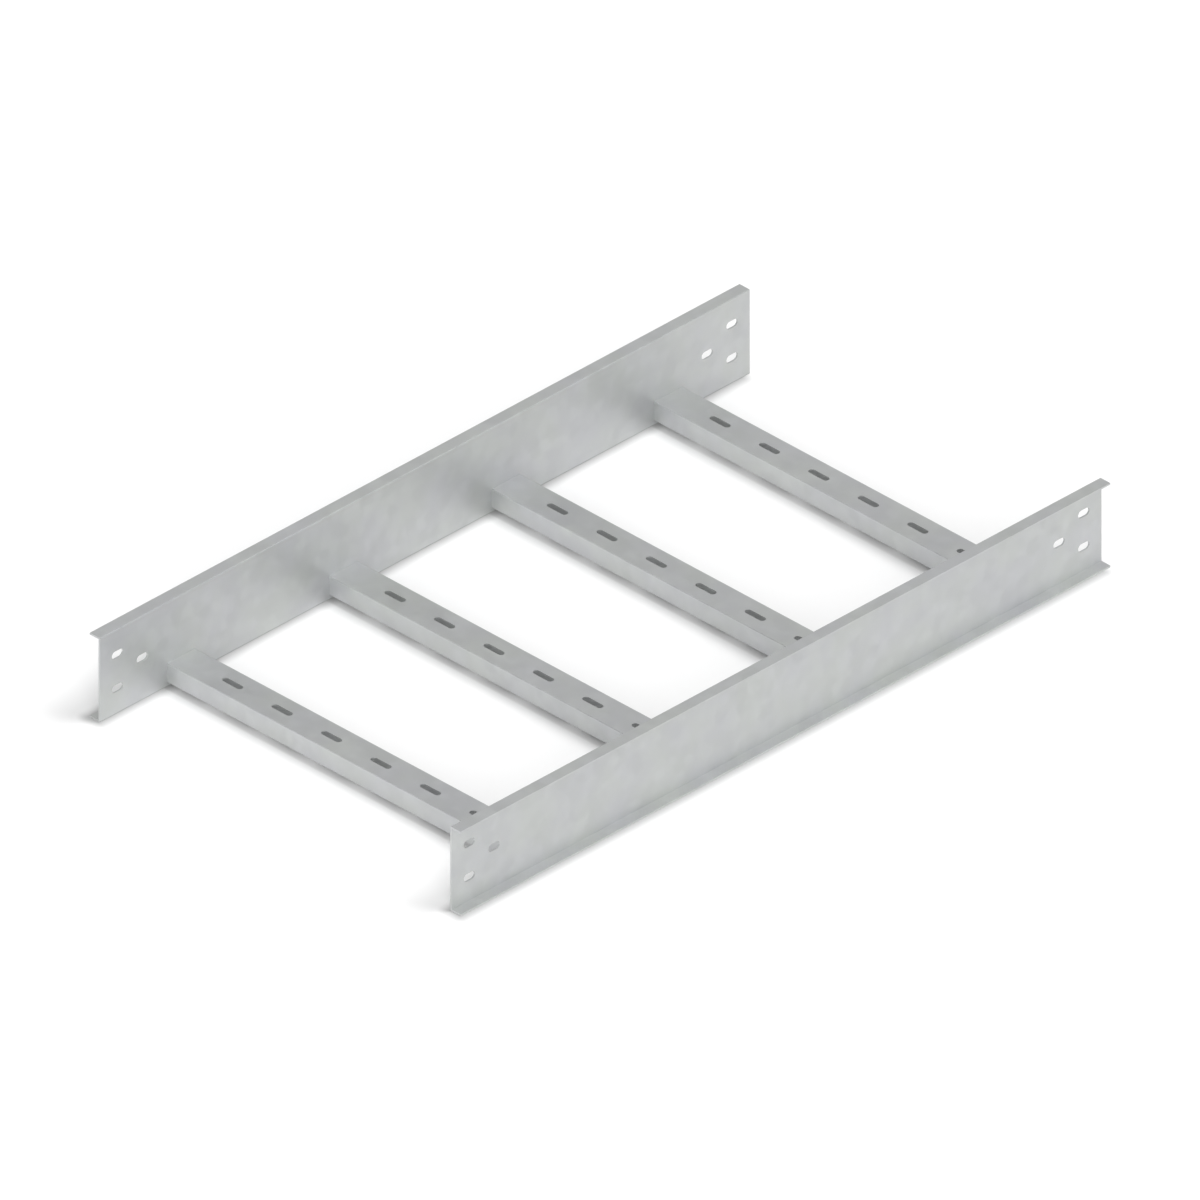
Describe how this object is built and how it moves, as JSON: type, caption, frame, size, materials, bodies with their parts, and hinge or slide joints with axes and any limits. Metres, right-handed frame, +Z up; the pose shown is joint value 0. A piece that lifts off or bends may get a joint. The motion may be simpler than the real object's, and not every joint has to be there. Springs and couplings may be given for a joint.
{
  "type": "cable ladder section",
  "caption": "Straight section of galvanised steel cable ladder: two tall side rails with outward flanges and splice slots, joined by flat slotted rungs.",
  "frame": {"origin": "centre of the bounding box's underside, on the ground under the middle of the section", "axes": "+X across the ladder, along the rungs, towards the right rail; +Y along the rails; +Z up"},
  "size_m": [0.525, 0.92, 0.1],
  "materials": {
    "galvanised_steel": "hot-dip galvanised sheet, matte light grey with faint cloudy spangle"
  },
  "bodies": {
    "root": {"side_rail_left": "galvanised_steel", "side_rail_right": "galvanised_steel", "rung_1": "galvanised_steel", "rung_2": "galvanised_steel", "rung_3": "galvanised_steel", "rung_4": "galvanised_steel"}
  },
  "joints": []
}
